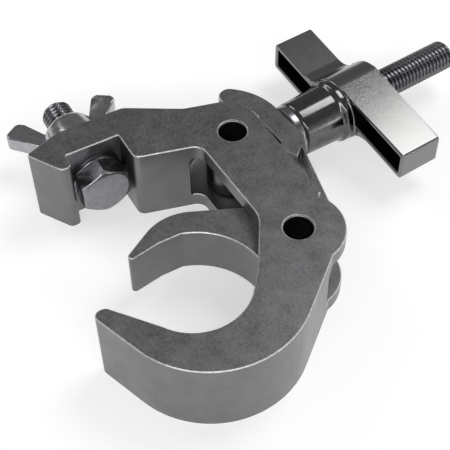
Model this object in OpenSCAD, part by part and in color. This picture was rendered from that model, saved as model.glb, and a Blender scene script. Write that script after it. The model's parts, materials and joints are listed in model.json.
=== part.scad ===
// Pipe clamp: a slotted body with a hook, a jaw lever, a swing bolt with a T-handle and a fixing bolt.
// Millimetres. The origin is the centre of the tube seat, halfway along the clamp's width.
// +Z runs along the tube, +Y out of the mounting face, +X towards the handle.

/* [Body] */
// Width of the body along the tube
body_w = 31; // [29:0.5:36]
// Thickness of each cheek beside the slot
cheek_t = 6; // [5:0.25:6.75]
// From the tube centre to the mounting face
face_y = 83.6; // [81:0.2:88]
// Thickness of the flange under the bolt head
flange_t = 12.2; // [10:0.2:14]
// From the tube centre to the flange's free end
flange_reach = 25.2; // [22:0.2:28]
// Fall of the outer face towards the free end
flange_fall = 5; // [3:0.2:7]
// Lean of the free end's face
flange_end_a = 58; // [50:1:65]
// Depth of the leg on the free end, beside the bolt head
leg_h = 5.9; // [4:0.1:8]
// Flat length of the mounting face right of the bolt axis
face_right = 17.6; // [14:0.2:20]
// Slope of the shoulder beside the mounting face
shoulder_a = 31; // [26:1:36]
// Slope of the shoulder over the bolt pivot
crown_a = 15; // [10:1:18]
// Height of the shoulder over the bolt pivot, at the outer edge
crown_h = 13.4; // [12.5:0.2:15]
// Radius of the shoulder's outer corner
crown_r = 12.5; // [8:0.5:13]
// From the tube centre to the inner edge of the web, at the window's corner
web_x = 30.6; // [29.8:0.1:32.4]
// Lean of the web's inner edge
web_lean = 2.2; // [1:0.1:3]
// Width of the web at the window's corner
web_w = 25; // [24.6:0.1:27]
// Radius of the groove in the web's outer edge
groove_r = 1.3; // [0.8:0.1:1.6]
// From the jaw pivot up to the groove
groove_rise = 8; // [7.6:0.1:9]
// From the bolt pivot down to the flange's lower edge, at the web
window_drop = 0.9; // [0:0.1:3]
// Slope of the flange's lower edge
window_a = 15.5; // [8:0.5:18]
// Radius of the window's corner
window_r = 4.5; // [2:0.5:6]

/* [Hook] */
// Radius of the tube seat
seat_r = 19.4; // [18:0.1:20.5]
// Turn of the seat's arc from the bottom to its left side
seat_left_a = 57.5; // [55:0.5:60]
// Turn of the seat's arc from the bottom to its right side
seat_right_a = 52.5; // [51:0.5:54]
// Slope of the hook's inner side over the seat's arc
lip_a = 51; // [48:0.5:53]
// Slope of the flank between the seat and the web
flank_a = 58.5; // [56:0.5:61]
// Start of the flank, right of the tube centre
flank_x = 21.2; // [20.5:0.1:22]
// Radius of the hook's outer arc
hook_r = 33.65; // [32:0.1:35]
// Centre of the outer arc, right of the tube centre
hook_x = 4.4; // [3.5:0.1:5]
// Centre of the outer arc, below the tube centre
hook_drop = 2.7; // [2:0.1:4]
// Lean of the hook's outer side
hook_side_a = 20.3; // [18:0.1:22]
// Slope of the underside between the hook and the jaw pivot
hook_under_a = 40; // [38:0.5:44]
// Top of the hook's tip above the tube centre
tip_top = 5; // [3:0.1:7]
// Radius of the tip's corners
tip_r = 2.4; // [1:0.1:2.6]

/* [Pivots] */
// Jaw pivot, right of the tube centre
jaw_pin_x = 40.9; // [40.4:0.1:42]
// Jaw pivot, above the tube centre
jaw_pin_y = 2.7; // [1.5:0.1:4]
// Swing bolt pivot, right of the tube centre
bolt_pin_x = 44.1; // [43:0.1:45]
// From the mounting face down to the swing bolt pivot
pivot_drop = 30.8; // [29.6:0.1:32.6]
// Diameter of both pivot pins
pin_d = 10; // [8:0.1:11]
// Depth of each pin's ends below the cheeks
pin_recess = 0.6; // [0.2:0.1:1.5]
// Chamfer on each pin's ends
pin_chamfer = 0.8; // [0.3:0.1:1.5]
// Chamfer at the mouth of each pin hole
pin_mouth = 0.5; // [0.2:0.1:1]
// Radius of the cheeks around the jaw pivot
boss_r = 16; // [15.2:0.1:16.5]

/* [Jaw lever] */
// Radius of the lever around the jaw pivot
lever_r = 12.5; // [11.5:0.1:13.5]
// Direction of the lever's heel from the jaw pivot
heel_a = 205; // [198:1:212]
// Radius of the jaw's inner arc
jaw_r = 25.5; // [25:0.1:26]
// Height of the jaw's flat above the tube centre
jaw_flat_y = 24.3; // [23.6:0.1:24.6]
// End of the flat, left of the tube centre
nose_x = 0.4; // [0:0.1:2]
// Slope of the nose beside the flat
nose_a = 9.3; // [6:0.1:11]
// Radius of the nose's blunt end
nose_r = 1.35; // [1:0.05:1.6]
// Slope of the straight back over the nose
jaw_back_a = 31; // [29:0.5:33]
// Radius of the jaw's back
jaw_back_r = 19; // [18:0.1:20]
// Centre of the back's arc, right of the tube centre
jaw_back_x = 7.6; // [7:0.1:8.5]
// Centre of the back's arc, above the tube centre
jaw_back_y = 14.4; // [13.6:0.1:15]
// From the fork seat's foot in to the tail's outer corner
tail_in = 4.4; // [3.6:0.1:5]
// From the fork seat's foot down to the tail's outer corner
tail_drop = 9.1; // [7.5:0.1:11]
// Length of the tail's straight outer edge
tail_l = 24; // [21:0.5:26]
// From the bolt pivot to the fork's seat
fork_seat = 24; // [23:0.1:26]
// Seat length below the rod
seat_low = 11; // [9.5:0.1:12]
// Seat length above the rod
seat_high = 7; // [5:0.1:8]
// Radius of the horn's outer arc
horn_r = 24.8; // [24:0.1:25.6]
// Centre of the horn's arc, above the rod's axis
horn_rise = 6.1; // [5.4:0.1:6.8]
// Thickness of the horn
horn_t = 8.5; // [6:0.1:9]
// Turn of the horn up to its round end
horn_a = 52; // [46:1:56]
// Depth of the relief in both faces of the tail
relief_d = 5; // [1:0.1:6]
// Wall left between the relief and the tail's outer edge
relief_wall = 1; // [0.6:0.1:1.6]
// From the relief's lower edge to its point below the seat
relief_h = 10; // [7:0.1:12]
// From the fork's seat back to the relief's point
relief_back = 8.5; // [7:0.1:10]
// From the seat's foot down to the relief's point
relief_low = 7.8; // [7:0.1:9]
// Slope of the relief's lower edge
relief_a = 40; // [36:1:44]
// Opening of the relief towards the outer edge
relief_spread = 4; // [2:0.5:6]
// Lean of the relief's inner side
relief_lean = 123; // [118:1:128]
// Where the tail's back edge starts on the boss
tail_back_a = 122; // [116:1:126]

/* [Swing bolt] */
// Diameter of the threaded rod
rod_d = 12; // [11:0.1:12.4]
// Angle of the rod at rest
rod_a = 5; // [3:0.5:7]
// From the bolt pivot to the rod's end
rod_l = 103.5; // [103:0.5:115]
// Chamfer on a threaded end
thread_chamfer = 1.2; // [0.5:0.1:2]
// Radius of the eye
eye_r = 10; // [9:0.1:11]

/* [Handle] */
// Thickness of the thrust washer
thrust_t = 3; // [2:0.1:4]
// Diameter of the thrust washer
thrust_d = 21; // [19:0.1:23]
// Length of the barrel in front of the handle
barrel_l = 20; // [16:0.5:24]
// Diameter of the barrel at the washer
barrel_d = 21.4; // [20:0.1:22]
// Growth of the barrel's diameter up to the collar
barrel_taper = 1.2; // [0:0.1:2]
// Diameter of the collar at the handle
collar_d = 25; // [24:0.1:27]
// Thickness of the collar
collar_t = 2.2; // [1.5:0.1:3]
// Diameter of the sleeve inside the handle
sleeve_d = 17; // [16:0.1:19]
// Chamfer at the barrel's front
barrel_edge = 1; // [0.5:0.1:1.5]
// Radius of the handle's hub
hub_r = 12.6; // [12.5:0.1:13.2]
// Length of the hub
hub_l = 19; // [18.5:0.1:22]
// Half of the wing span
wing_reach = 39.4; // [34:0.2:44]
// Depth of the wings along the rod
wing_depth = 17.5; // [15:0.1:18]
// Height of the wings
wing_h = 12; // [11:0.1:13]
// Slope of each wing's straight side, which is tangent to the hub
wing_slope = 8.5; // [7:0.1:10]
// Radius of the fillet between the hub and each wing's other side
wing_fillet = 10; // [6:0.5:12]
// Radius of the wing ends' corners
wing_corner = 1.4; // [0.5:0.1:2.5]
// Wall around the hollow of each wing
wing_wall = 1.8; // [1.5:0.1:3]
// Radius of the hollows' corners
hollow_corner = 0.4; // [0.2:0.1:1]

/* [Fixing bolt] */
// Bolt axis, left of the tube centre
bolt_left = 2.8; // [2:0.1:4]
// Diameter of the bolt
bolt_d = 12; // [11:0.1:12.4]
// Length under the head
bolt_l = 40; // [38:0.5:45]
// Width of the head across its flats
head_af = 18; // [17:0.1:19]
// Height of the head
head_h = 7.5; // [6:0.1:9]
// Diameter of the head's face inside its chamfer
head_face_d = 17; // [15:0.1:17.5]
// Width of the pocket for the head
pocket_w = 20.6; // [20.4:0.1:22]
// Diameter of the washer under the head
head_washer_d = 20; // [19:0.1:20.2]
// Thickness of the washer under the head
head_washer_t = 2.3; // [1.5:0.1:3]
// Diameter of the washer under the nut
nut_washer_d = 24; // [22:0.1:26]
// Thickness of the washer under the nut
nut_washer_t = 2.5; // [1.5:0.1:3]
// Height of the nut's hub
nut_h = 13; // [11:0.1:15]
// Diameter of the nut's hub at its foot
nut_foot_d = 23; // [20:0.1:25]
// Diameter of the nut's hub at its top
nut_top_d = 18.6; // [17:0.1:20]
// Height of the straight foot of the nut's hub
nut_foot_h = 1.5; // [1:0.1:3]
// Half of the nut's ear span
ear_reach = 23.4; // [21:0.1:26]
// Height of the ears over the nut's foot
ear_h = 22.2; // [20:0.1:25]
// Width of each ear
ear_w = 9; // [7:0.1:11]
// Thickness of the ears along the tube
ear_t = 6; // [4:0.1:8]
// Lean of the ears
ear_a = 48; // [42:1:54]
// Height of the ears' lower edge at the nut's axis
ear_low = 2.3; // [1.6:0.1:3]
// Height of the ears' lower edge at the side of the nut's foot
ear_root = 4.4; // [4:0.1:5.5]
// From the nut's top down to the ears' upper edge
ear_drop = 2; // [1:0.1:3]
// Widening of the ears at their ends
ear_flare = 1; // [0:0.1:2]
// Radius of the ears' corners
ear_r = 2.4; // [1:0.1:3]

/* [Corners] */
// Lower edge of the leg beside the bolt head
leg_r = 1.5; // [1:0.1:2.5]
// Lip of the flange right of the bolt head
lip_r = 3; // [2:0.1:4]
// Between the flank and the web
web_r = 12; // [10:0.5:14]
// Between the tube seat and the flank
flank_r = 20; // [15:1:25]
// Between both slopes of the shoulder
shoulder_r = 8; // [6:0.5:10]
// Right end of the mounting face
face_r = 6; // [4:0.5:8]
// Left end of the mounting face
fall_r = 3; // [2:0.5:5]
// Upper edge of the flange's free end
flange_tip_r = 1.2; // [0.8:0.1:2]
// Lower edge of the flange's free end
leg_end_r = 2.2; // [1:0.1:2.4]
// Between the lever's round and its tail
tail_root_r = 10; // [6:0.5:14]
// Tail of the lever, outside the fork
tail_r = 6; // [4:0.5:8]
// Foot of the fork's seat
seat_foot_r = 1.5; // [0.8:0.1:2.5]
// Flat length of the mounting face left of the bolt axis
face_left = 8.5; // [7:0.1:10]

/* [Fits] */
// Gap of a pin or sleeve that is pressed in
press_gap = 0.01; // [0.005:0.005:0.02]
// Gap of a turning pin or thread, on the radius
run_gap = 0.05; // [0.02:0.01:0.08]
// Gap between each face of the lever and the slot
side_gap = 0.3; // [0.2:0.05:0.5]
// Gap between each face of the eye and the slot
eye_side_gap = 0.6; // [0.4:0.1:2]
// Gap between the lever's heel and the slot's round end
slot_gap = 1.5; // [0.6:0.1:1.6]
// Gap around the eye in the lever
eye_gap = 4; // [3:0.1:4.5]
// Gap of a loose hole, on the radius
loose_gap = 0.4; // [0.2:0.05:0.6]
// Gap beside the rod where it swings out of the body and the fork
swing_gap = 0.5; // [0.4:0.1:0.6]
// Set-back of the horn's arc behind the fork's seat
horn_gap = 0.05; // [0.02:0.01:0.1]

/* [Hidden] */
$fn = 96;
cut = 1;
far = 150;
// Arcs run this much past the straight edges they are tangent to, so that the two cross cleanly.
arc_lap = 0.001;
lap_a = 4;
arc_steps = 4;
horn_start_a = -5;
sector_share = 0.9;
boss_from_a = -75;
boss_to_a = 60;

aluminium = [0.44, 0.44, 0.45];
polished = [0.72, 0.72, 0.74];
zinc = [0.66, 0.67, 0.69];
black_steel = [0.05, 0.05, 0.05];

bolt_pin_y = face_y - pivot_drop;
jaw_pin = [jaw_pin_x, jaw_pin_y];
bolt_pin = [bolt_pin_x, bolt_pin_y];
slot_w = body_w - 2 * cheek_t;
lever_t = slot_w - 2 * side_gap;
eye_t = slot_w - 2 * eye_side_gap;
slot_r = boss_r + slot_gap;
pin_l = body_w - 2 * pin_recess;
fork_w = rod_d + 2 * swing_gap;
web_right = web_x + web_w;
bolt_x = -bolt_left;
bearing_y = face_y - flange_t;
head_y = bearing_y - head_washer_t;
nut_y = face_y + nut_washer_t;
pocket_left = bolt_x - pocket_w / 2;
pocket_right = bolt_x + pocket_w / 2;
hook_c = [hook_x, -hook_drop];
nose = [-nose_x, jaw_flat_y];
barrel_u = fork_seat + thrust_t;
handle_u = barrel_u + barrel_l;

// Unit vector at an angle.
function heading(a) = [cos(a), sin(a)];
function unit(v) = v / norm(v);
// Where the line through p at angle a meets the line through q at angle b.
function meet(p, a, q, b) = let (d = q - p) p + heading(a) * (d[0] * sin(b) - d[1] * cos(b)) / sin(b - a);
// Half of the angle inside the corner b of the path a, b, c.
function half_corner(a, b, c) = acos(unit(a - b) * unit(c - b)) / 2;
function left_turn(a, b, c) = cross(b - a, c - b) > 0;
// Height of a wing's straight side at x, seen along the rod.
function wing_side(x) = x * tan(wing_slope) - (hub_r - arc_lap) / cos(wing_slope);
// Where the line from p touches the circle of radius r about c, on one side (1) or the other (-1).
function touch(p, c, r, side) = let (d = p - c) c + r * heading(atan2(d[1], d[0]) + side * acos(r / norm(d)));
// A point in the rod's own directions: u along the rod from its pivot, v across it.
function rod_point(u, v) = bolt_pin + u * heading(rod_a) + v * heading(rod_a + 90);

horn_c = rod_point(fork_seat - horn_gap - horn_r, horn_rise);
seat_foot = rod_point(fork_seat, -seat_low);
tail_end = seat_foot - [tail_in, tail_drop];
// Lean of the tail's outer edge, in line with the side of the cheeks' round.
tail_a = let (link = tail_end - jaw_pin) atan2(link[1], link[0]) + asin(boss_r / norm(link));

// Counter-clockwise outline whose corners [x, y, r] are rounded by true arcs.
module rounded_outline(corners) {
    n = len(corners);
    function at(i) = let (p = corners[(i + n) % n]) [p[0], p[1]];
    function reach(i) = corners[i][2] / tan(half_corner(at(i - 1), at(i), at(i + 1)));
    function before(i) = at(i) + unit(at(i - 1) - at(i)) * reach(i);
    function after(i) = at(i) + unit(at(i + 1) - at(i)) * reach(i);
    function centre(i) = let (bisector = unit(unit(at(i - 1) - at(i)) + unit(at(i + 1) - at(i))))
        at(i) + bisector * corners[i][2] / sin(half_corner(at(i - 1), at(i), at(i + 1)));
    round_corners = [for (i = [0:n - 1]) if (corners[i][2] > 0) i];
    difference() {
        union() {
            polygon([for (i = [0:n - 1]) each (corners[i][2] > 0 ? [before(i), after(i)] : [at(i)])]);
            for (i = round_corners)
                if (left_turn(at(i - 1), at(i), at(i + 1))) translate(centre(i)) circle(corners[i][2] + arc_lap);
        }
        for (i = round_corners)
            if (!left_turn(at(i - 1), at(i), at(i + 1))) translate(centre(i)) circle(corners[i][2] + arc_lap);
    }
}

// Rim of a disc between two angles, a little wider than they are, down to a chord inside the rim.
module sector(r, from_a, to_a) {
    span = to_a - from_a + 2 * lap_a;
    rim = [for (i = [0:arc_steps]) heading(from_a - lap_a + span * i / arc_steps)];
    intersection() {
        circle(r + arc_lap);
        polygon([sector_share * r * rim[0], for (h = rim) far * h, sector_share * r * rim[arc_steps]]);
    }
}

// Places a piece on the rod's axis: x across the rod, y along the tube, z along the rod from its pivot.
module on_rod(u) {
    translate(bolt_pin) rotate(rod_a) translate([u, 0, 0]) rotate([90, 0, 90]) children();
}

// Places a piece on the fixing bolt's axis: z runs out of the mounting face.
module on_bolt(y) {
    translate([bolt_x, y, 0]) rotate([-90, 0, 0]) children();
}

// Ring with a square section, its foot at z = 0.
module ring(outer_d, inner_d, height) {
    rotate_extrude() translate([inner_d / 2, 0]) square([(outer_d - inner_d) / 2, height]);
}

// Hook, web and flange in one open outline, seen along the tube.
module body_outline() {
    side_a = 90 + hook_side_a;
    seat_left = seat_r * heading(270 - seat_left_a);
    seat_right = seat_r * heading(270 + seat_right_a);
    hook_left = hook_c + hook_r * heading(180 + hook_side_a);
    hook_right = hook_c + hook_r * heading(hook_under_a - 90);
    tip = [0, tip_top];
    tip_left = meet(hook_left, side_a, tip, 0);
    tip_right = meet(seat_left, 180 - lip_a, tip, 0);
    under_end = meet(hook_right, hook_under_a, jaw_pin, 290);
    window = [web_x, bolt_pin_y - window_drop];
    flank = meet(seat_right, seat_right_a, [flank_x, 0], 90);
    web_foot = meet(flank, flank_a, window, 90 + web_lean);
    pocket_lip = meet(window, 180 - window_a, [pocket_right, 0], 90);
    leg_y = bearing_y - leg_h;
    flange_tip = [-flange_reach, face_y - flange_fall];
    leg_corner = meet(flange_tip, -flange_end_a, [0, leg_y], 0);
    face_end = [bolt_x + face_right, face_y];
    crown = [web_right, bolt_pin_y + crown_h];
    shoulder = meet(face_end, -shoulder_a, crown, 180 - crown_a);
    difference() {
        union() {
            rounded_outline([
                [pocket_left, leg_y, leg_r],
                [pocket_left, bearing_y, 0],
                [pocket_right, bearing_y, 0],
                [pocket_lip[0], pocket_lip[1], lip_r],
                [window[0], window[1], window_r],
                [web_foot[0], web_foot[1], web_r],
                [flank[0], flank[1], flank_r],
                [seat_right[0], seat_right[1], 0],
                [seat_left[0], seat_left[1], 0],
                [tip_right[0], tip_right[1], tip_r],
                [tip_left[0], tip_left[1], tip_r],
                [hook_left[0], hook_left[1], 0],
                [hook_right[0], hook_right[1], 0],
                [under_end[0], under_end[1], 0],
                [web_right, jaw_pin_y, 0],
                [crown[0], crown[1], crown_r],
                [shoulder[0], shoulder[1], shoulder_r],
                [face_end[0], face_end[1], face_r],
                [bolt_x - face_left, face_y, fall_r],
                [flange_tip[0], flange_tip[1], flange_tip_r],
                [leg_corner[0], leg_corner[1], leg_end_r],
            ]);
            translate(jaw_pin) sector(boss_r, boss_from_a, boss_to_a);
            translate(hook_c) sector(hook_r, 180 + hook_side_a, 270 + hook_under_a);
        }
        circle(seat_r);
        translate([web_right, jaw_pin_y + groove_rise]) circle(groove_r);
    }
}

// The cutter's slot: round about both pivots, open to the right and over the bolt pivot.
module slot_outline() {
    aside = slot_r * unit([-(bolt_pin - jaw_pin)[1], (bolt_pin - jaw_pin)[0]]);
    exit_x = bolt_pin_x - rod_d / 2 - 2 * swing_gap;
    for (p = [jaw_pin, bolt_pin]) translate(p) circle(slot_r);
    polygon([jaw_pin + aside, jaw_pin, [far, jaw_pin_y], [far, far], [exit_x, far],
             [exit_x, bolt_pin_y], bolt_pin + aside]);
}

module body() {
    color(aluminium) difference() {
        linear_extrude(body_w, center = true) body_outline();
        linear_extrude(slot_w, center = true) slot_outline();
        for (p = [jaw_pin, bolt_pin]) translate(p) {
            cylinder(d = pin_d + 2 * press_gap, h = body_w + 2 * cut, center = true);
            for (side = [0, 1]) mirror([0, 0, side]) translate([0, 0, body_w / 2 - pin_mouth])
                cylinder(d1 = pin_d, d2 = pin_d + 2 * (pin_mouth + cut), h = pin_mouth + cut);
        }
        on_bolt(bearing_y - cut) cylinder(d = bolt_d + 2 * loose_gap, h = flange_t + 2 * cut);
    }
}

// Upper jaw: a curved finger with a flat and a sloping nose, its back straight, round and straight again.
module jaw_outline() {
    back_c = [jaw_back_x, jaw_back_y];
    link = jaw_pin - back_c;
    fall_a = atan2(link[1], link[0]) - asin((jaw_back_r - boss_r) / norm(link));
    back_left = back_c + jaw_back_r * heading(90 + jaw_back_a);
    back_right = back_c + jaw_back_r * heading(90 + fall_a);
    nose_tip = meet(nose, nose_a, back_left, jaw_back_a);
    heel = jaw_pin + boss_r * heading(heel_a);
    rounded_outline([
        concat(nose_tip, nose_r),
        concat(nose, 0),
        [0, 0, 0],
        concat(heel, 0),
        concat(touch(heel, jaw_pin, lever_r, 1), 0),
        concat(jaw_pin, 0),
        concat(jaw_pin + boss_r * heading(90 + fall_a), 0),
        concat(back_right, 0),
        concat(back_left, 0),
    ]);
    translate(back_c) sector(jaw_back_r, 90 + fall_a, 90 + jaw_back_a);
}

// Space for the tube: below the flat and the nose, within the inner arc.
module jaw_mouth() {
    intersection() {
        circle(jaw_r);
        polygon([nose, nose - far * heading(nose_a), [-far, -far], [far, -far], [far, jaw_flat_y]]);
    }
}

// The horn that guides the washer on to the seat, with a round end.
module horn_outline() {
    intersection() {
        translate(horn_c) difference() {
            circle(horn_r);
            circle(horn_r - horn_t);
        }
        polygon([horn_c, for (a = [horn_start_a, horn_a / 2, horn_a]) horn_c + far * heading(a)]);
    }
    translate(horn_c + (horn_r - horn_t / 2) * heading(horn_a)) circle(horn_t / 2);
}

module lever_outline() {
    tail_root = tail_end - tail_l * heading(tail_a);
    seat_top = rod_point(fork_seat, seat_high);
    inside_horn = rod_point(fork_seat - horn_t / 2, seat_high);
    difference() {
        union() {
            translate(jaw_pin) circle(lever_r + arc_lap);
            jaw_outline();
            horn_outline();
            rounded_outline([
                concat(jaw_pin + boss_r * heading(tail_back_a), 0),
                concat(jaw_pin, 0),
                concat(touch(tail_root, jaw_pin, lever_r, -1), 0),
                concat(tail_root, tail_root_r),
                concat(tail_end, tail_r),
                concat(seat_foot, seat_foot_r),
                concat(seat_top, 0),
                concat(inside_horn, 0),
                concat(bolt_pin, 0),
            ]);
        }
        translate(bolt_pin) circle(eye_r + eye_gap);
        jaw_mouth();
    }
}

// Relief in the tail's faces, between the point under the seat and the straight of the tail.
module relief_outline() {
    point = rod_point(fork_seat - relief_back, -seat_low - relief_low);
    low = point + relief_h * heading(270);
    wall = jaw_pin + (boss_r - relief_wall) * heading(tail_a - 90);
    polygon([point, meet(point, relief_a + relief_spread, wall, tail_a), meet(low, relief_a, wall, tail_a),
             low - horn_t * heading(relief_a), point + horn_t * heading(relief_lean)]);
}

module jaw_lever() {
    color(aluminium) difference() {
        linear_extrude(lever_t, center = true) lever_outline();
        translate(jaw_pin) cylinder(d = pin_d + 2 * run_gap, h = lever_t + 2 * cut, center = true);
        on_rod(0) cylinder(d = fork_w, h = far);
        translate(bolt_pin) rotate(rod_a) translate([0, 0, -fork_w / 2]) cube([far, far, fork_w]);
        for (side = [0, 1]) mirror([0, 0, side]) translate([0, 0, lever_t / 2 - relief_d])
            linear_extrude(relief_d + cut) relief_outline();
    }
}

module pivot_pin() {
    flat = pin_d / 2 - pin_chamfer;
    color(black_steel) translate([0, 0, -pin_l / 2]) rotate_extrude() polygon([
        [0, 0], [flat, 0], [pin_d / 2, pin_chamfer], [pin_d / 2, pin_l - pin_chamfer],
        [flat, pin_l], [0, pin_l]]);
}

module jaw_pivot_pin() {
    translate(jaw_pin) pivot_pin();
}

module bolt_pivot_pin() {
    translate(bolt_pin) pivot_pin();
}

// Threaded end, its free end chamfered, from z = 0.
module stud(diameter, length) {
    rotate_extrude() polygon([[0, 0], [diameter / 2, 0], [diameter / 2, length - thread_chamfer],
                              [diameter / 2 - thread_chamfer, length], [0, length]]);
}

module swing_bolt() {
    color(zinc) difference() {
        union() {
            translate(bolt_pin) cylinder(r = eye_r, h = eye_t, center = true);
            on_rod(0) stud(rod_d, rod_l);
        }
        translate(bolt_pin) cylinder(d = pin_d + 2 * run_gap, h = eye_t + 2 * cut, center = true);
    }
}

module thrust_washer() {
    color(zinc) on_rod(fork_seat) ring(thrust_d, rod_d + 2 * loose_gap, thrust_t);
}

// Long sleeve: a tapered barrel, a flared collar against the handle and the sleeve inside its hub.
module barrel_nut() {
    bore_r = rod_d / 2 + run_gap;
    collar_start = barrel_l - collar_t;
    flare = (collar_d - barrel_d - barrel_taper) / 2;
    end = barrel_l + hub_l;
    color(polished) on_rod(barrel_u) rotate_extrude() polygon([
        [bore_r, 0], [barrel_d / 2 - barrel_edge, 0], [barrel_d / 2, barrel_edge],
        [(barrel_d + barrel_taper) / 2, collar_start - flare],
        [collar_d / 2, collar_start], [collar_d / 2, barrel_l],
        [sleeve_d / 2, barrel_l], [sleeve_d / 2, end], [bore_r, end]]);
}

// One wing seen along the rod: a band whose lower side is tangent to the hub. inset draws the wall's inner line.
module wing_outline(inset) {
    thick = inset / cos(wing_slope);
    corner = max(wing_corner - inset, hollow_corner);
    root_x = hub_r * sin(wing_slope);
    end_x = wing_reach - inset;
    rounded_outline([
        [root_x, wing_side(root_x) + thick, 0],
        [end_x, wing_side(end_x) + thick, corner],
        [end_x, wing_side(end_x) + wing_h - thick, corner],
        [root_x, wing_side(root_x) + wing_h - thick, 0],
    ]);
}

// Fillet between the hub and the upper side of a wing.
module wing_web() {
    normal = heading(90 + wing_slope);
    along = heading(wing_slope);
    rise = wing_h * cos(wing_slope) - hub_r + wing_fillet - arc_lap;
    fillet_c = rise * normal + sqrt(pow(hub_r + wing_fillet - arc_lap, 2) - pow(rise, 2)) * along;
    difference() {
        polygon([[0, 0], fillet_c - (wing_fillet + cut) * normal, fillet_c]);
        translate(fillet_c) circle(wing_fillet);
    }
}

module handle_outline() {
    circle(hub_r);
    for (side = [0, 180]) rotate(side) {
        wing_outline(0);
        wing_web();
    }
}

module t_handle() {
    wing_back = (hub_l - wing_depth) / 2;
    color(polished) on_rod(handle_u) difference() {
        union() {
            cylinder(r = hub_r, h = hub_l);
            translate([0, 0, wing_back]) linear_extrude(wing_depth) handle_outline();
        }
        translate([0, 0, -cut]) cylinder(d = sleeve_d + 2 * press_gap, h = hub_l + 2 * cut);
        for (side = [0, 180]) rotate(side) translate([0, 0, wing_back - cut])
            linear_extrude(wing_depth - wing_wall + cut) difference() {
                wing_outline(wing_wall);
                circle(hub_r);
            }
    }
}

module fixing_bolt() {
    across_corners = head_af / cos(30);
    head_chamfer = (across_corners - head_af) / 2;
    color(zinc) union() {
        on_bolt(head_y - head_h / 2) stud(bolt_d, bolt_l + head_h / 2);
        on_bolt(head_y - head_h) intersection() {
            rotate(30) cylinder(d = across_corners, h = head_h, $fn = 6);
            rotate_extrude() polygon([[0, 0], [head_face_d / 2, 0],
                [across_corners / 2, head_chamfer], [across_corners / 2, head_h], [0, head_h]]);
        }
    }
}

module head_washer() {
    color(zinc) on_bolt(head_y) ring(head_washer_d, bolt_d + 2 * loose_gap, head_washer_t);
}

module nut_washer() {
    color(zinc) on_bolt(face_y) ring(nut_washer_d, bolt_d + 2 * loose_gap, nut_washer_t);
}

// One ear: a band that leans out and up from the hub, its foot at y = 0.
module ear_outline() {
    end_low = [ear_reach, ear_h - ear_w * cos(ear_a) + ear_flare];
    end_high = [ear_reach - ear_w * sin(ear_a) - ear_flare, ear_h];
    top = nut_h - ear_drop;
    rounded_outline([[0, ear_low, 0], [nut_foot_d / 2, ear_root, 0], concat(end_low, ear_r),
                     concat(end_high, ear_r), [nut_top_d / 2 - ear_drop, top, 0], [0, top, 0]]);
}

module wing_nut() {
    bore_r = bolt_d / 2 + run_gap;
    color(zinc) difference() {
        union() {
            on_bolt(nut_y) rotate_extrude() polygon([[0, 0], [nut_foot_d / 2, 0],
                [nut_foot_d / 2, nut_foot_h], [nut_top_d / 2, nut_h], [0, nut_h]]);
            translate([bolt_x, nut_y, 0]) for (side = [0, 1]) mirror([side, 0, 0])
                linear_extrude(ear_t, center = true) ear_outline();
        }
        on_bolt(nut_y - cut) cylinder(r = bore_r, h = far);
    }
}

body();
jaw_lever();
jaw_pivot_pin();
bolt_pivot_pin();
swing_bolt();
thrust_washer();
barrel_nut();
t_handle();
fixing_bolt();
head_washer();
nut_washer();
wing_nut();
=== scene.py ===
"""Looks of a pipe clamp with a swing bolt and a T-handle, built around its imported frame.

Lengths are metres in the frame's own axes: +Z runs along the tube, +Y out of the mounting face
and +X towards the handle. Sizes that are easier to read in millimetres are multiplied by MM.
"""
import json
import math

import bmesh
import bpy
import numpy as np
from mathutils import Matrix, Vector


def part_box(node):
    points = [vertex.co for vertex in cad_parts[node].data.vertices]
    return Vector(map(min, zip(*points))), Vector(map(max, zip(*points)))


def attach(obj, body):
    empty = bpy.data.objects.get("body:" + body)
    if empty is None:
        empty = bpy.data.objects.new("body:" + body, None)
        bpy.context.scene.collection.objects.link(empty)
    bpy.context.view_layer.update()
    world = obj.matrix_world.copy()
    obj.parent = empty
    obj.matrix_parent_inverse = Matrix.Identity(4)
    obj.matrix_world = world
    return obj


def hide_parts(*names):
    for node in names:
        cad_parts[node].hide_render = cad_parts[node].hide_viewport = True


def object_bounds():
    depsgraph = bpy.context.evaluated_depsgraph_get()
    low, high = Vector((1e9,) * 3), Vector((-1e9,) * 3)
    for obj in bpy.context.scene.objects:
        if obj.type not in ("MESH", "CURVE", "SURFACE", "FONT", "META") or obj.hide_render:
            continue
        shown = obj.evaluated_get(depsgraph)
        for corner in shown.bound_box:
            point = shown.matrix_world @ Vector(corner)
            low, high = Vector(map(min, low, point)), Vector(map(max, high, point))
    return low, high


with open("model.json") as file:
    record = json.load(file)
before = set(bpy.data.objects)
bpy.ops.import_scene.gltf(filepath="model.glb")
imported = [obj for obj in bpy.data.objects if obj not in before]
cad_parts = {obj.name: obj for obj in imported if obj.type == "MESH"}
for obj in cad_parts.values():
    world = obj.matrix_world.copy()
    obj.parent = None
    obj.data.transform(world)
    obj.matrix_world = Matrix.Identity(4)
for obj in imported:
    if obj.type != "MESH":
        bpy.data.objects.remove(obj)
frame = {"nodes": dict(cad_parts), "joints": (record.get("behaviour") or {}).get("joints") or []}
cad_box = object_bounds()

# Places and directions, from the frame's joints where it gives them
MM = 0.001
TUBE_AXIS = np.array([0.0, 0.0, 1.0])
JOINTS = {joint["name"]: joint for joint in frame["joints"]}
ROD_PIVOT = np.array(JOINTS["bolt_swing"]["pos_m"], float)
ROD_AXIS = np.array(JOINTS["handle_spin"]["axis"], float)
JAW_PIVOT = np.array(JOINTS["jaw_open"]["pos_m"], float)
NUT_SEAT = np.array(JOINTS["wing_nut_spin"]["pos_m"], float)
BOLT_AXIS = np.array(JOINTS["wing_nut_spin"]["axis"], float)
RELIEF_MIDDLE = np.array([60.5, 30.0, 0.0]) * MM

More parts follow.
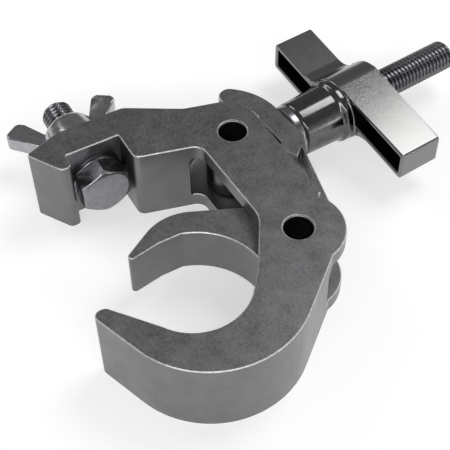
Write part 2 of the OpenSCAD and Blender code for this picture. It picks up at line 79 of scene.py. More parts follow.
# Metric thread. The last three are shares of the pitch, two of them from the middle of a crest
THREAD_PITCH = 1.75 * MM
THREAD_D = 12 * MM
THREAD_CHAMFER = 1.2 * MM
CREST_END = 0.1
ROOT_START = 0.375
THREAD_DEPTH = 0.5

# Bores, and the room they leave round a thread or a pin
RUN_GAP = 0.05 * MM
LOOSE_GAP = 0.4 * MM
THREAD_BORE = THREAD_D / 2 + RUN_GAP
LOOSE_BORE = THREAD_D / 2 + LOOSE_GAP

# Steps round an axis and along a pitch, and the angles and lengths that tell edges and points apart
TURN_STEPS = 96
ROWS_PER_PITCH = 10
EDGE_ANGLE = math.radians(30)
CREASE_ANGLE = math.radians(40)
FLAT_ANGLE = math.radians(0.5)
SHORT_EDGE = 0.08 * MM
SAME_POINT = 1e-7
CORNER_SHARE = 0.45


# Measures of the CAD nodes

def node_offsets(node, origin):
    """Offsets of a CAD node's vertices from a point, one row each."""
    mesh = frame["nodes"][node].data
    points = np.empty(len(mesh.vertices) * 3, np.float32)
    mesh.vertices.foreach_get("co", points)
    return points.reshape(-1, 3) - origin


def span_along(node, axis, origin):
    """Lowest and highest distance of a CAD node's vertices along an axis from a point."""
    reach = node_offsets(node, origin) @ axis
    return float(reach.min()), float(reach.max())


def radius_about(node, axis, origin):
    """Largest distance of a CAD node's vertices from an axis."""
    offset = node_offsets(node, origin)
    across = offset - np.outer(offset @ axis, axis)
    return float(np.linalg.norm(across, axis=1).max())


# Meshes

def axes_about(axis):
    """Rows across, up and along for a right-handed set of directions about an axis."""
    hint = TUBE_AXIS if abs(axis @ TUBE_AXIS) < 0.9 else np.array([1.0, 0.0, 0.0])
    across = np.cross(hint, axis)
    across /= np.linalg.norm(across)
    return np.array([across, np.cross(axis, across), axis])


def new_piece(name, grid, body, material, nodes, wrap_rows=False):
    """A closed surface from a grid of points [row, column, xyz]: columns close on themselves,
    rows do so where wrap_rows is set, and rows that shrink to a point close the ends."""
    rows, columns = grid.shape[:2]
    index = np.arange(rows * columns).reshape(rows, columns)
    upper = np.roll(index, -1, 0) if wrap_rows else index[1:]
    lower = index if wrap_rows else index[:-1]
    quads = np.stack([lower, np.roll(lower, -1, 1), np.roll(upper, -1, 1), upper], -1).reshape(-1, 4)
    mesh = bpy.data.meshes.new(name)
    mesh.from_pydata(grid.reshape(-1, 3), [], quads)
    work = bmesh.new()
    work.from_mesh(mesh)
    bmesh.ops.remove_doubles(work, verts=work.verts, dist=SAME_POINT)
    bmesh.ops.recalc_face_normals(work, faces=work.faces)
    work.to_mesh(mesh)
    work.free()
    mesh.shade_smooth()
    mesh.set_sharp_from_angle(angle=EDGE_ANGLE)
    dress(bpy.data.objects.new(name, mesh), body, material, nodes)


def dress(piece, body, material, nodes):
    """Links a piece, gives it its material and lets it stand for CAD nodes on a body."""
    bpy.context.scene.collection.objects.link(piece)
    piece.data.materials.clear()
    piece.data.materials.append(material)
    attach(piece, body)
    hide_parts(*nodes)


def revolved(profile, origin, axis):
    """Grid of a profile of points (radius, height) carried round an axis in equal steps."""
    across, up, along = axes_about(axis)
    turn = np.linspace(0, 2 * math.pi, TURN_STEPS, endpoint=False)
    spoke = np.outer(np.cos(turn), across) + np.outer(np.sin(turn), up)
    radius, height = np.asarray(profile, float).T
    return origin + radius[:, None, None] * spoke[None] + height[:, None, None] * along


def softened(profile, edge, closed=True, steps=3):
    """A profile whose corners are cut by a quadratic curve that starts one edge length away, or
    the corner's share of a shorter side: the curve's weights are (1 - t)^2, 2t(1 - t) and t^2 for
    the points before, at and after. An open profile keeps its two end points."""
    points = np.asarray(profile, float)
    before = np.roll(points, 1, 0) - points
    after = np.roll(points, -1, 0) - points
    reach = []
    for side in (before, after):
        length = np.linalg.norm(side, axis=1, keepdims=True)
        reach.append(points + side / length * np.minimum(edge, length * CORNER_SHARE))
    t = np.linspace(0, 1, steps + 1)[None, :, None]
    first, corner, last = reach[0][:, None], points[:, None], reach[1][:, None]
    curve = (1 - t) ** 2 * first + 2 * t * (1 - t) * corner + t ** 2 * last
    if closed:
        return curve.reshape(-1, 2)
    return np.vstack([points[:1], curve[1:-1].reshape(-1, 2), points[-1:]])


def thread_groove(turns):
    """Depth from 0 on the crest to 1 in the root of a metric thread, by turns along its length:
    a worn crest a fifth of the pitch wide, a root a quarter wide and straight flanks between."""
    phase = np.abs(turns - np.round(turns))
    return np.clip((phase - CREST_END) / (ROOT_START - CREST_END), 0, 1)


def threaded(start, thread_start, end, origin, axis):
    """Grid of a threaded rod: a cylinder whose radius falls by the groove's depth along a
    right-hand helix, plain before thread_start and chamfered at its end, both ends closed."""
    across, up, along = axes_about(axis)
    step = THREAD_PITCH / ROWS_PER_PITCH
    height = np.arange(start, end + step / 2, step)
    turn = np.linspace(0, 2 * math.pi, TURN_STEPS, endpoint=False)
    depth = THREAD_DEPTH * THREAD_PITCH
    groove = thread_groove(height[:, None] / THREAD_PITCH - turn[None] / (2 * math.pi))
    run_in = np.clip((height - thread_start) / THREAD_PITCH, 0, 1)[:, None]
    radius = THREAD_D / 2 - depth * groove * run_in
    chamfer = THREAD_D / 2 - np.clip(height - (end - THREAD_CHAMFER), 0, None)[:, None]
    radius = np.minimum(radius, chamfer)
    radius = np.vstack([0 * radius[:1], radius, 0 * radius[:1]])
    height = np.concatenate([[start], height, [height[-1]]])
    spoke = np.outer(np.cos(turn), across) + np.outer(np.sin(turn), up)
    return origin + radius[..., None] * spoke[None] + height[:, None, None] * along


def hexagon_head(across_flats, face_r, low, high, origin, axis):
    """Grid of a hexagon head: columns go round, the radius is half the width across flats over
    the cosine of the angle from the nearest flat, and a 30 degree cone trims the corners at low."""
    across, up, along = axes_about(axis)
    turn = np.linspace(0, 2 * math.pi, TURN_STEPS * 2, endpoint=False)
    half_flat = math.pi / 6
    from_flat = (turn + half_flat) % (2 * half_flat) - half_flat
    hexagon = across_flats / 2 / np.cos(from_flat)
    cone = math.tan(math.radians(30))
    trim = np.clip(hexagon - face_r, 0, None) * cone
    soft = 0.25 * MM
    ones = np.ones_like(turn)
    rows = [
        (0 * ones, low * ones),
        ((face_r - soft) * ones, low * ones),
        ((face_r + soft) * ones, low + soft * cone * ones),
        (hexagon - soft, low + trim - soft * cone),
        (hexagon, low + trim + soft),
        (hexagon, (high - soft) * ones),
        (hexagon - soft, high * ones),
        (0 * ones, high * ones),
    ]
    spoke = np.outer(np.cos(turn), across) + np.outer(np.sin(turn), up)
    return np.stack([origin + r[:, None] * spoke + h[:, None] * along for r, h in rows])


def bevelled(node, name, body, material, passes, reshape=None):
    """A merged copy of a CAD node, its flat faces joined up again and its edges broken. Each pass
    is a width, steps, a profile from 0.25 (flat) to 0.5 (round) and a test that picks edges by
    their middle. The faces made so carry the attribute "edge", for the burnished wear and painted
    highlight that the extrusion's material puts on them. reshape moves the copy's points first."""
    mesh = frame["nodes"][node].data.copy()
    mesh.name = name
    work = bmesh.new()
    work.from_mesh(mesh)
    bmesh.ops.remove_doubles(work, verts=work.verts, dist=SHORT_EDGE)
    bmesh.ops.dissolve_degenerate(work, edges=work.edges, dist=SHORT_EDGE)
    if reshape:
        for vertex in work.verts:
            vertex.co = reshape(np.array(vertex.co))
    bmesh.ops.dissolve_limit(work, angle_limit=FLAT_ANGLE, verts=work.verts, edges=work.edges)
    edge_highlight_layer = work.faces.layers.float.new("edge")
    sharp = [edge for edge in work.edges if edge.calc_face_angle(0) > EDGE_ANGLE]
    picks = [[edge for edge in sharp if test(np.array((edge.verts[0].co + edge.verts[1].co) / 2))]
             for width, steps, profile, test in passes]
    for (width, steps, profile, test), edges in zip(passes, picks):
        made = bmesh.ops.bevel(work, geom=[edge for edge in edges if edge.is_valid], offset=width,
                               offset_type="OFFSET", segments=steps, profile=profile, affect="EDGES",
                               clamp_overlap=False, miter_outer="ARC", material=-1, loop_slide=True)
        for face in made["faces"]:
            face[edge_highlight_layer] = 1
    work.to_mesh(mesh)
    work.free()
    mesh.shade_smooth()
    mesh.set_sharp_from_angle(angle=CREASE_ANGLE)
    piece = bpy.data.objects.new(name, mesh)
    flat = piece.modifiers.new("flat_faces", "WEIGHTED_NORMAL")
    flat.keep_sharp = True
    dress(piece, body, material, [node])


# Materials

# Widths of the surface patterns in millimetres. The first four are finer than a pixel on the real
# clamp and are drawn as coarse as they need to show
SAW_GRAIN = 0.8
DIE_LINE = 0.7
POLISH_GRAIN = 0.6
PLATE_GRIT = 0.4
CUTTER_MARK = 1.0
OXIDE_CLOUD = 1.2
PLATE_CLOUD = 2.5
LATHE_SPOT = 3
WHEEL_WAVE = 6
ALLOY_CLOUD = 7

# Scales that draw the die's lines out along the tube and the cutter's marks across it
DIE_LINE_DRAW = 0.03
CUTTER_DRAW = 0.04

# Cosines between which a face turns from a wall into a sawn end, and from which it looks outward
WALL_TURN = 0.6
END_TURN = 0.9
OUTWARD_TURN = 0.5

# Reach of most noise values, and the heights of the bumps
NOISE_LOW = 0.3
NOISE_HIGH = 0.7
FINE_BUMP = 0.03 * MM
WAVE_BUMP = 0.2 * MM


def linear(code):
    """Linear RGBA of an sRGB hex colour."""
    parts = [int(code[i:i + 2], 16) / 255 for i in (1, 3, 5)]
    return [c / 12.92 if c <= 0.04045 else ((c + 0.055) / 1.055) ** 2.4 for c in parts] + [1.0]


def per_metre(size_mm):
    """Texture scale whose features are about this many millimetres wide."""
    return 1 / (size_mm * MM)


def add(tree, kind, inputs=None, **settings):
    """Adds a node, sets its properties, and sets or links its inputs by name or number."""
    made = tree.nodes.new("ShaderNode" + kind)
    for key, value in settings.items():
        setattr(made, key, value)
    for key, value in (inputs or {}).items():
        if isinstance(value, bpy.types.NodeSocket):
            tree.links.new(value, made.inputs[key])
        else:
            made.inputs[key].default_value = value
    return made


def new_material(name):
    """An empty node material and its tree."""
    material = bpy.data.materials.new(name)
    material.use_nodes = True
    material.node_tree.nodes.clear()
    return material, material.node_tree


def mottled(tree, tint_noise, dark, light, dull_noise, smooth, rough):
    """Colour between two hex values by one noise, and roughness between two numbers by another,
    each over the reach where most of a noise lies."""
    share = add(tree, "MapRange", {"Value": tint_noise, "From Min": NOISE_LOW, "From Max": NOISE_HIGH})
    tint = add(tree, "Mix", {"Factor": share.outputs[0], "A": linear(dark), "B": linear(light)},
               data_type="RGBA")
    dull = add(tree, "MapRange", {"Value": dull_noise, "From Min": NOISE_LOW, "From Max": NOISE_HIGH,
                                  "To Min": smooth, "To Max": rough})
    return tint.outputs["Result"], dull.outputs[0]


def metal_surface(tree, tint, dull, bump=None):
    """Ends a material as bare metal of the given colour and roughness, with a bump where given."""
    inputs = {"Metallic": 1.0, "Base Color": tint, "Roughness": dull}
    if bump is not None:
        inputs["Normal"] = bump.outputs[0]
    shader = add(tree, "BsdfPrincipled", inputs)
    add(tree, "OutputMaterial", {"Surface": shader.outputs[0]})


def extruded_aluminium(name, cut_middle, cut_r, cut_half, outward, cut_dark, cut_light):
    """Tumbled aluminium extrusion: sawn ends with a fine dull grain, and walls with the die's
    faint lines along the tube, duller than polished metal but clearly metallic. Faces left by the
    cutter, within cut_r of an axis along the tube and cut_half of the middle plane, lie between
    the two cut colours, in marks across the tube; these colours also carry painted light, a painted
    reflection where they are set bright and a painted shade where they are set dark. Walls that
    look along outward keep their skin."""
    material, tree = new_material(name)
    place = add(tree, "TexCoord")
    spot = place.outputs["Object"]
    normal = place.outputs["Normal"]
    grain = add(tree, "TexNoise", {"Vector": spot, "Scale": per_metre(SAW_GRAIN), "Detail": 4.0,
                                   "Roughness": 0.7}).outputs[0]
    cloud = add(tree, "TexNoise", {"Vector": spot, "Scale": per_metre(ALLOY_CLOUD),
                                   "Detail": 2.0}).outputs[0]
    along = add(tree, "Mapping", {"Vector": spot, "Scale": (1, 1, DIE_LINE_DRAW)})
    die_lines = add(tree, "TexNoise", {"Vector": along.outputs[0], "Scale": per_metre(DIE_LINE),
                                       "Detail": 2.0}).outputs[0]
    across = add(tree, "Mapping", {"Vector": spot, "Scale": (CUTTER_DRAW, CUTTER_DRAW, 1)})
    marks = add(tree, "TexNoise", {"Vector": across.outputs[0], "Scale": per_metre(CUTTER_MARK),
                                   "Detail": 1.0}).outputs[0]

    # Skin: sawn ends look along the tube, walls across it
    facing = add(tree, "SeparateXYZ", {"Vector": normal})
    flat = add(tree, "Math", {0: facing.outputs["Z"]}, operation="ABSOLUTE")
    sawn = add(tree, "MapRange", {"Value": flat.outputs[0], "From Min": WALL_TURN,
                                  "From Max": END_TURN}).outputs[0]
    pattern = add(tree, "Mix", {"Factor": sawn, "A": die_lines, "B": grain},
                  data_type="FLOAT").outputs[0]
    patch = add(tree, "Mix", {"Factor": 0.65, "A": cloud, "B": grain}, data_type="FLOAT")
    streak = add(tree, "Mix", {"Factor": 0.35, "A": cloud, "B": die_lines}, data_type="FLOAT")
    end_tint, end_dull = mottled(tree, patch.outputs[0], "#5a5a5c", "#8c8c8e", pattern, 0.38, 0.54)
    wall_tint, wall_dull = mottled(tree, streak.outputs[0], "#747476", "#808082", pattern, 0.3, 0.4)
    skin = add(tree, "Mix", {"Factor": sawn, "A": wall_tint, "B": end_tint}, data_type="RGBA")
    dull = add(tree, "Mix", {"Factor": sawn, "A": wall_dull, "B": end_dull}, data_type="FLOAT")

    # The cutter's faces: near its axis, near the middle plane and not turned outward
    flat_place = add(tree, "VectorMath", {0: spot, 1: (1, 1, 0)}, operation="MULTIPLY")
    away = add(tree, "VectorMath", {0: flat_place.outputs[0], 1: (cut_middle[0], cut_middle[1], 0)},
               operation="DISTANCE")
    near = add(tree, "Math", {0: away.outputs["Value"], 1: cut_r}, operation="LESS_THAN")
    from_middle = add(tree, "SeparateXYZ", {"Vector": spot})
    height = add(tree, "Math", {0: from_middle.outputs["Z"]}, operation="ABSOLUTE")
    inside = add(tree, "Math", {0: height.outputs[0], 1: cut_half}, operation="LESS_THAN")
    reached = add(tree, "Math", {0: near.outputs[0], 1: inside.outputs[0]}, operation="MULTIPLY")
    lean = add(tree, "VectorMath", {0: normal, 1: tuple(outward)}, operation="DOT_PRODUCT")
    turned_in = add(tree, "Math", {0: lean.outputs["Value"], 1: OUTWARD_TURN}, operation="LESS_THAN")
    milled = add(tree, "Math", {0: reached.outputs[0], 1: turned_in.outputs[0]}, operation="MULTIPLY")
    # The cut colours carry painted light: near white in the lever's relief as a painted reflection,
    # darker in the body's slot as a painted shade
    mark = add(tree, "MapRange", {"Value": marks, "From Min": NOISE_LOW, "From Max": NOISE_HIGH})
    bright = add(tree, "Mix", {"Factor": mark.outputs[0], "A": linear(cut_dark),
                               "B": linear(cut_light)}, data_type="RGBA")
    metal = add(tree, "Mix", {"Factor": milled.outputs[0], "A": skin.outputs["Result"],
                              "B": bright.outputs["Result"]}, data_type="RGBA")

    # Broken edges are painted near white, in patches that follow the grain: partly burnished wear,
    # mostly a painted highlight standing in for the lit chamfers
    edge = add(tree, "Attribute", attribute_name="edge")
    wear = add(tree, "MapRange", {"Value": grain, "From Min": NOISE_LOW, "From Max": NOISE_HIGH,
                                  "To Min": 0.3})
    wear_and_highlight_share = add(tree, "Math", {0: edge.outputs["Fac"], 1: wear.outputs[0]}, operation="MULTIPLY")
    burnish_and_highlight = add(tree, "Mix", {"Factor": wear_and_highlight_share.outputs[0], "A": metal.outputs["Result"],
                                  "B": linear("#e4e4e4")}, data_type="RGBA")
    bump = add(tree, "Bump", {"Height": pattern, "Strength": 0.2, "Distance": FINE_BUMP})
    metal_surface(tree, burnish_and_highlight.outputs["Result"], dull.outputs[0], bump)
    return material


def polished_casting(name):
    """Cast and polished zinc alloy: bright and clear, with the slight waviness of a hand-held wheel."""
    material, tree = new_material(name)
    spot = add(tree, "TexCoord").outputs["Object"]
    wave = add(tree, "TexNoise", {"Vector": spot, "Scale": per_metre(WHEEL_WAVE),
                                  "Detail": 2.0}).outputs[0]
    grain = add(tree, "TexNoise", {"Vector": spot, "Scale": per_metre(POLISH_GRAIN),
                                   "Detail": 4.0}).outputs[0]
    tint, dull = mottled(tree, grain, "#7c7c7b", "#898988", grain, 0.16, 0.25)
    bump = add(tree, "Bump", {"Height": wave, "Strength": 0.05, "Distance": WAVE_BUMP})
    metal_surface(tree, tint, dull, bump)
    return material


def turned_steel(name):
    """Turned and chromed steel: dark, with clear reflections that are faintly duller in spots."""
    material, tree = new_material(name)
    spot = add(tree, "TexCoord").outputs["Object"]
    spots = add(tree, "TexNoise", {"Vector": spot, "Scale": per_metre(LATHE_SPOT),
                                   "Detail": 3.0}).outputs[0]
    metal_surface(tree, *mottled(tree, spots, "#5e5e5e", "#6a6a6a", spots, 0.12, 0.17))
    return material


def zinc_plate(name, dull, dark, light):
    """Bright zinc plate on steel: a slightly cool, satin metal with cloudy patches between two
    colours, duller by the given roughness where the steel under it is rough."""
    material, tree = new_material(name)
    spot = add(tree, "TexCoord").outputs["Object"]
    cloud = add(tree, "TexNoise", {"Vector": spot, "Scale": per_metre(PLATE_CLOUD),
                                   "Detail": 3.0}).outputs[0]
    grit = add(tree, "TexNoise", {"Vector": spot, "Scale": per_metre(PLATE_GRIT),
                                  "Detail": 3.0}).outputs[0]
    bump = add(tree, "Bump", {"Height": grit, "Strength": 0.2, "Distance": FINE_BUMP})
    metal_surface(tree, *mottled(tree, cloud, dark, light, cloud, 0.16 + dull, 0.26 + dull), bump)
    return material


def black_oxide(name):
    """Blackened steel: nearly black, with an oily sheen in cloudy patches."""
    material, tree = new_material(name)
    spot = add(tree, "TexCoord").outputs["Object"]
    cloud = add(tree, "TexNoise", {"Vector": spot, "Scale": per_metre(OXIDE_CLOUD),
                                   "Detail": 3.0}).outputs[0]
    metal_surface(tree, *mottled(tree, cloud, "#050506", "#0c0c0d", cloud, 0.3, 0.48))
    return material


# The cutter cleared the body's slot round the rod's pivot, and the lever's relief under its fork. Their
# cut colours are painted light: near white as a painted reflection in the lever's relief, darker as a
# painted shade in the body's slot.
BODY_METAL = extruded_aluminium("extruded_aluminium", ROD_PIVOT, cut_r=18 * MM, cut_half=9.6 * MM,
                                outward=(0, 0, 0), cut_dark="#58585a", cut_light="#c0c0c2")
LEVER_METAL = extruded_aluminium("milled_aluminium", RELIEF_MIDDLE, cut_r=11 * MM, cut_half=9 * MM,
                                 outward=ROD_AXIS, cut_dark="#a8a8aa", cut_light="#d8d8da")
CAST_METAL = polished_casting("polished_zinc_casting")
BARREL_STEEL = turned_steel("chromed_steel")
ZINC_STEEL = zinc_plate("zinc_plated_steel", 0.02, "#828385", "#909194")
ZINC_FORGING = zinc_plate("zinc_plated_forging", -0.02, "#a0a1a3", "#aeafb2")
ROD_STEEL = zinc_plate("zinc_plated_rolled_steel", 0.04, "#646567", "#747578")
BLACK_STEEL = black_oxide("black_oxide_steel")


# Pieces

# Hub of the wing nut, turned lower and rounder than the CAD hub
HUB_FOOT_R = 11.5 * MM
HUB_FOOT_H = 1.5 * MM
HUB_RIM_R = 9.6 * MM
HUB_RIM = 11.5 * MM
HUB_ROUND = 2.6 * MM
CAD_HUB_H = 13 * MM
CAD_HUB_R = 9.3 * MM

# Half the thickness of its wings, and where they leave the hub
WING_HALF = 3 * MM
WING_ROOT = (4.2 * MM, 9.95 * MM)

# How far the CAD hub's points are drawn in: lowest and highest place, and share of their radius
SUNK_LOW = 0.4 * MM
SUNK_HIGH = HUB_RIM - 3 * MM
SUNK_SHARE = 0.85

# Distances within which a point counts as being on a surface
ON_SURFACE = 0.1 * MM
ON_WING_FACE = 0.05 * MM
PIN_HOLE_REACH = 5.5 * MM

# Slit beside the cheek: its line, its ends along y, and the length over which it fades
EYE_CLEARANCE_R = 14 * MM
SLIT_X = 58.95 * MM
SLIT_LOW = 45 * MM
SLIT_HIGH = 56.6 * MM
SLIT_TOP = 58.4 * MM
SLIT_FADE = 4.2 * MM
SLIT_STRETCH = 1.12
SLIT_LEAN = 0.06


def about_bolt(point):
    """Height above the wing nut's seat and the offset from the bolt's axis."""
    offset = point - NUT_SEAT
    height = offset @ BOLT_AXIS
    return height, offset - height * BOLT_AXIS


def hub_inside(point):
    """Draws the points of the CAD hub, not those of the wings, in under the turned hub's skin."""
    height, spoke = about_bolt(point)
    taper = np.clip((height - HUB_FOOT_H) / (CAD_HUB_H - HUB_FOOT_H), 0, 1)
    on_hub = np.linalg.norm(spoke) < HUB_FOOT_R - taper * (HUB_FOOT_R - CAD_HUB_R) + ON_SURFACE
    at_root = abs(spoke[2]) < WING_HALF + ON_WING_FACE and WING_ROOT[0] < height < WING_ROOT[1]
    if at_root or not on_hub:
        return point
    return NUT_SEAT + np.clip(height, SUNK_LOW, SUNK_HIGH) * BOLT_AXIS + SUNK_SHARE * spoke


def eye_slit(point):
    """Draws the outer wall of the lever's clearance for the eye out to a straight slit, so that
    it shows beside the cheek: its points go to a leaning line and are spread a little along it,
    by a share that fades smoothly, as t^2 (3 - 2t), towards the horn."""
    spoke = (point - ROD_PIVOT)[:2]
    on_wall = abs(np.linalg.norm(spoke) - EYE_CLEARANCE_R) < ON_SURFACE and spoke[0] > 0
    if not on_wall or not SLIT_LOW < point[1] < SLIT_TOP:
        return point
    down = SLIT_STRETCH * (SLIT_HIGH - point[1])
    line = np.array([SLIT_X + SLIT_LEAN * down, SLIT_HIGH - down, point[2]])
    t = min((SLIT_TOP - point[1]) / SLIT_FADE, 1)
    return point + t * t * (3 - 2 * t) * (line - point)


def on_wing(point):
    """Whether a point lies on a wing of the wing nut, outside its hub."""
    return np.linalg.norm(about_bolt(point)[1]) > HUB_FOOT_R


def everywhere(point):
    """Picks every sharp edge."""
    return True


def on_pin_hole(point):
    """Whether a point lies on the edge of a hole for a pivot pin."""
    away = min(np.linalg.norm((point - pivot)[:2]) for pivot in (JAW_PIVOT, ROD_PIVOT))
    return away < PIN_HOLE_REACH


def off_pin_hole(point):
    """The extrusion's other edges."""
    return not on_pin_hole(point)


# Broken edges: width, steps, profile and the edges that are meant
FLAT = 0.25
ROUND = 0.5
CHAMFER = [(0.12 * MM, 1, FLAT, on_pin_hole), (0.4 * MM, 4, FLAT, off_pin_hole)]
CAST_ROUND = [(0.6 * MM, 3, ROUND, everywhere)]
WING_ROUND = [(0.7 * MM, 3, ROUND, on_wing)]

bevelled("body", "body_extrusion", "clamp_body", BODY_METAL, CHAMFER)
bevelled("jaw_lever", "lever_extrusion", "lever", LEVER_METAL, CHAMFER, eye_slit)
bevelled("t_handle", "handle_casting", "handle", CAST_METAL, CAST_ROUND)
bevelled("wing_nut", "nut_wings", "nut", ZINC_FORGING, WING_ROUND, hub_inside)


def nut_hub():
    """Hub of the wing nut: a foot, a cone and a rounded rim carried round the bolt."""
    section = [(THREAD_BORE, 0), (HUB_FOOT_R, 0), (HUB_FOOT_R, HUB_FOOT_H), (HUB_RIM_R, HUB_RIM),
               (THREAD_BORE, HUB_RIM)]
    grid = revolved(softened(section, HUB_ROUND, steps=6), NUT_SEAT, BOLT_AXIS)
    new_piece("nut_hub", grid, "nut", ZINC_FORGING, ["wing_nut"], wrap_rows=True)


def pivot_pin(name, node, body, origin):
    """Pin with chamfered ends and a shallow ring turned into each end face."""
    low, high = span_along(node, TUBE_AXIS, origin)
    radius = radius_about(node, TUBE_AXIS, origin)
    chamfer = 0.8 * MM
    ring_r = 0.76 * radius
    ring_w = 0.25 * MM
    ring_d = 0.3 * MM
    edge = 0.08 * MM
    end = [(0, high), (ring_r - ring_w, high), (ring_r, high - ring_d), (ring_r + ring_w, high),
           (radius - chamfer, high), (radius, high - chamfer)]
    profile = [(r, low + high - h) for r, h in end] + end[::-1]
    grid = revolved(softened(profile, edge, closed=False), origin, TUBE_AXIS)
    new_piece(name, grid, body, BLACK_STEEL, [node])


def swing_bolt():
    """Eye: a ring about the pivot, as thick as the CAD eye. Rod: a metric thread with a plain neck,
    rooted in the eye."""
    low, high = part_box("swing_bolt")
    eye_back, rod_end = span_along("swing_bolt", ROD_AXIS, ROD_PIVOT)
    eye_r = -eye_back
    eye_edge = 0.6 * MM
    neck = eye_r + 3 * MM
    root = 0.7 * eye_r
    bore_r = radius_about("bolt_pivot_pin", TUBE_AXIS, ROD_PIVOT) + RUN_GAP
    section = [(bore_r, low.z), (eye_r, low.z), (eye_r, high.z), (bore_r, high.z)]
    eye = revolved(softened(section, eye_edge), ROD_PIVOT, TUBE_AXIS)
    new_piece("swing_eye", eye, "swing", ROD_STEEL, ["swing_bolt"], wrap_rows=True)
    rod = threaded(root, neck, rod_end, ROD_PIVOT, ROD_AXIS)
    new_piece("swing_thread", rod, "swing", ROD_STEEL, ["swing_bolt"])


def washer(name, node, body, axis, origin, edge):
    """Ring with soft edges: its section is the CAD ring's, with rounded corners."""
    low, high = span_along(node, axis, origin)
    outer = radius_about(node, axis, origin)
    section = [(LOOSE_BORE, low), (outer, low), (outer, high), (LOOSE_BORE, high)]
    grid = revolved(softened(section, edge), origin, axis)
    new_piece(name, grid, body, ZINC_STEEL, [node], wrap_rows=True)


def barrel():
    """Turned sleeve: a slight taper, a flared collar against the handle and a sleeve in its hub."""
    node = "barrel_nut"
    low, high = span_along(node, ROD_AXIS, ROD_PIVOT)
    collar_r = radius_about(node, ROD_AXIS, ROD_PIVOT)
    sleeve_r = 8.5 * MM
    front_r = 10.7 * MM
    waist_r = 11.3 * MM
    chamfer = 1 * MM
    edge = 0.5 * MM
    seat = low + 20 * MM
    collar = seat - 2.2 * MM
    flare = collar_r - waist_r
    section = [(THREAD_BORE, low), (front_r - chamfer, low), (front_r, low + chamfer),
               (waist_r, collar - flare), (collar_r, collar), (collar_r, seat), (sleeve_r, seat),
               (sleeve_r, high), (THREAD_BORE, high)]
    grid = revolved(softened(section, edge), ROD_PIVOT, ROD_AXIS)
    new_piece("barrel", grid, "handle", BARREL_STEEL, [node], wrap_rows=True)


def fixing_bolt():
    """Hexagon head with trimmed corners, and a metric thread along the shank, rooted in the head."""
    across_flats = 18 * MM
    face_r = 8.5 * MM
    plain = 9 * MM
    low, high = span_along("fixing_bolt", BOLT_AXIS, NUT_SEAT)
    bearing = span_along("head_washer", BOLT_AXIS, NUT_SEAT)[0]
    head = hexagon_head(across_flats, face_r, low, bearing, NUT_SEAT, BOLT_AXIS)
    new_piece("bolt_head", head, "clamp_body", ZINC_STEEL, ["fixing_bolt"])
    shank = threaded((low + bearing) / 2, bearing + plain, high, NUT_SEAT, BOLT_AXIS)
    new_piece("bolt_thread", shank, "clamp_body", ZINC_STEEL, ["fixing_bolt"])


nut_hub()
pivot_pin("jaw_pin", "jaw_pivot_pin", "clamp_body", JAW_PIVOT)
pivot_pin("swing_pin", "bolt_pivot_pin", "clamp_body", ROD_PIVOT)
swing_bolt()
barrel()
fixing_bolt()
washer("thrust_ring", "thrust_washer", "thrust", ROD_AXIS, ROD_PIVOT, 0.5 * MM)
washer("head_ring", "head_washer", "clamp_body", BOLT_AXIS, NUT_SEAT, 0.4 * MM)
washer("nut_ring", "nut_washer", "nut_seat", BOLT_AXIS, NUT_SEAT, 0.4 * MM)


# Studio

# Brightness of the ceiling and the curtain against white walls, the cosines from straight up and
# from the curtain's middle where each starts and is full, and the curtain's compass angle
CEILING = 0.3
CURTAIN = 0.29
CEILING_START = 0.3
CEILING_FULL = 0.65
CURTAIN_START = 0.15
CURTAIN_FULL = 0.55
CURTAIN_AZIMUTH = 70

# Half the floor's side in metres, its room under the clamp, and the glow that keeps it white
FLOOR_HALF = 1.5
FLOOR_GAP = 0.05 * MM
FLOOR_GLOW = 0.56

# Lamps: azimuth and elevation in degrees, distance, width and height in metres, radiance
LAMP_TARGET = Vector((0.04, 0.03, 0))
SOFT_BOXES = {
    "soft_box_right": (10, 59, 0.8, 0.36, 0.36, 5.0),
    "soft_box_left": (116, 36, 0.9, 0.26, 0.5, 3.0),
    "soft_box_front": (241, 38, 1.0, 1.3, 0.16, 5.0),
    "soft_box_low": (302, 10, 0.9, 0.16, 0.16, 5.0),
}

# Camera, fitted to the round faces and straight edges of the clamp
CAMERA_PLACE = Vector((-88.5, -184.6, 287.2)) * MM
CAMERA_RIGHT = Vector((0.879, -0.477, 0))
CAMERA_FORWARD = Vector((0.3064, 0.5647, -0.7664))
CAMERA_ROLL = -0.01758
FOCAL_LENGTH = 85.37
SENSOR_WIDTH = 36
CLIP_START = 0.01


def white_floor():
    """Pale floor under the clamp: a matt surface with a little glow of its own towards the eye and
    the metal, so that it stays white and still takes the clamp's shadow."""
    corners = FLOOR_HALF * np.array([[-1, -1], [1, -1], [1, 1], [-1, 1]])
    height = cad_box[0][2] - FLOOR_GAP
    mesh = bpy.data.meshes.new("floor")
    mesh.from_pydata([(x, y, height) for x, y in corners], [], [(0, 1, 2, 3)])
    floor = bpy.data.objects.new("floor", mesh)
    bpy.context.scene.collection.objects.link(floor)
    material, tree = new_material("white_paper")
    paper = add(tree, "BsdfDiffuse", {"Color": linear("#c8c8c8")})
    glow = add(tree, "Emission", {"Color": linear("#ffffff"), "Strength": FLOOR_GLOW})
    lit = add(tree, "AddShader", {0: paper.outputs[0], 1: glow.outputs[0]})
    path = add(tree, "LightPath")
    seen = add(tree, "Math", {0: path.outputs["Is Camera Ray"], 1: path.outputs["Is Glossy Ray"]},
               operation="MAXIMUM")
    either = add(tree, "Math", {0: seen.outputs[0], 1: path.outputs["Is Transmission Ray"]},
                 operation="MAXIMUM")
    shown = add(tree, "MixShader", {0: either.outputs[0], 1: paper.outputs[0], 2: lit.outputs[0]})
    add(tree, "OutputMaterial", {"Surface": shown.outputs[0]})
    mesh.materials.append(material)


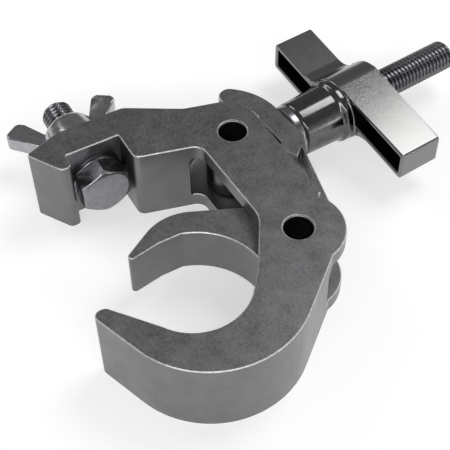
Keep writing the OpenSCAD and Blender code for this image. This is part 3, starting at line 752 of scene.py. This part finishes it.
def studio_room():
    """World: pale walls round the table, a dim ceiling, and a dark curtain behind the clamp that
    gives its flat tops their grey. The curtain's share grows with the cosine from its direction."""
    world = bpy.data.worlds.new("studio_room")
    bpy.context.scene.world = world
    world.use_nodes = True
    tree = world.node_tree
    tree.nodes.clear()
    place = add(tree, "TexCoord")
    facing = add(tree, "SeparateXYZ", {"Vector": place.outputs["Generated"]})
    ceiling = add(tree, "MapRange", {"Value": facing.outputs["Z"], "From Min": CEILING_START,
                                     "From Max": CEILING_FULL, "To Min": 1.0, "To Max": CEILING})
    turn = math.radians(CURTAIN_AZIMUTH)
    backward = (math.cos(turn), math.sin(turn), 0)
    behind = add(tree, "VectorMath", {0: place.outputs["Generated"], 1: backward},
                 operation="DOT_PRODUCT")
    curtain = add(tree, "MapRange", {"Value": behind.outputs["Value"], "From Min": CURTAIN_START,
                                     "From Max": CURTAIN_FULL, "To Min": 1.0, "To Max": CURTAIN})
    level = add(tree, "Math", {0: ceiling.outputs[0], 1: curtain.outputs[0]}, operation="MINIMUM")
    glow = add(tree, "Background", {"Strength": level.outputs[0]})
    add(tree, "OutputWorld", {"Surface": glow.outputs[0]})


def soft_box(name, azimuth, elevation, distance, width, height, radiance):
    """Oblong lamp aimed at the clamp from a compass angle and a height in degrees. The power is
    radiance times pi times the lamp's area."""
    turn, rise = math.radians(azimuth), math.radians(elevation)
    towards = Vector((math.cos(turn) * math.cos(rise), math.sin(turn) * math.cos(rise), math.sin(rise)))
    lamp = bpy.data.lights.new(name, "AREA")
    lamp.shape = "RECTANGLE"
    lamp.size = width
    lamp.size_y = height
    lamp.energy = radiance * math.pi * width * height
    holder = bpy.data.objects.new(name, lamp)
    holder.location = LAMP_TARGET + distance * towards
    holder.rotation_euler = towards.to_track_quat("Z", "Y").to_euler()
    bpy.context.scene.collection.objects.link(holder)


def photo_camera():
    """Camera at the photograph's place, its level turned by the roll about the line of sight."""
    right = CAMERA_RIGHT.normalized()
    forward = CAMERA_FORWARD.normalized()
    up = right.cross(forward)
    level = math.cos(CAMERA_ROLL) * right + math.sin(CAMERA_ROLL) * up
    upright = level.cross(forward)
    lens = bpy.data.cameras.new("photo_camera")
    lens.lens = FOCAL_LENGTH
    lens.sensor_width = SENSOR_WIDTH
    lens.clip_start = CLIP_START
    camera = bpy.data.objects.new("photo_camera", lens)
    camera.matrix_world = Matrix((level, upright, -forward)).transposed().to_4x4()
    camera.location = CAMERA_PLACE
    bpy.context.scene.collection.objects.link(camera)
    bpy.context.scene.camera = camera


white_floor()
studio_room()
for lamp_name, lamp_sizes in SOFT_BOXES.items():
    soft_box(lamp_name, *lamp_sizes)
photo_camera()
bpy.context.scene.view_settings.view_transform = "Standard"
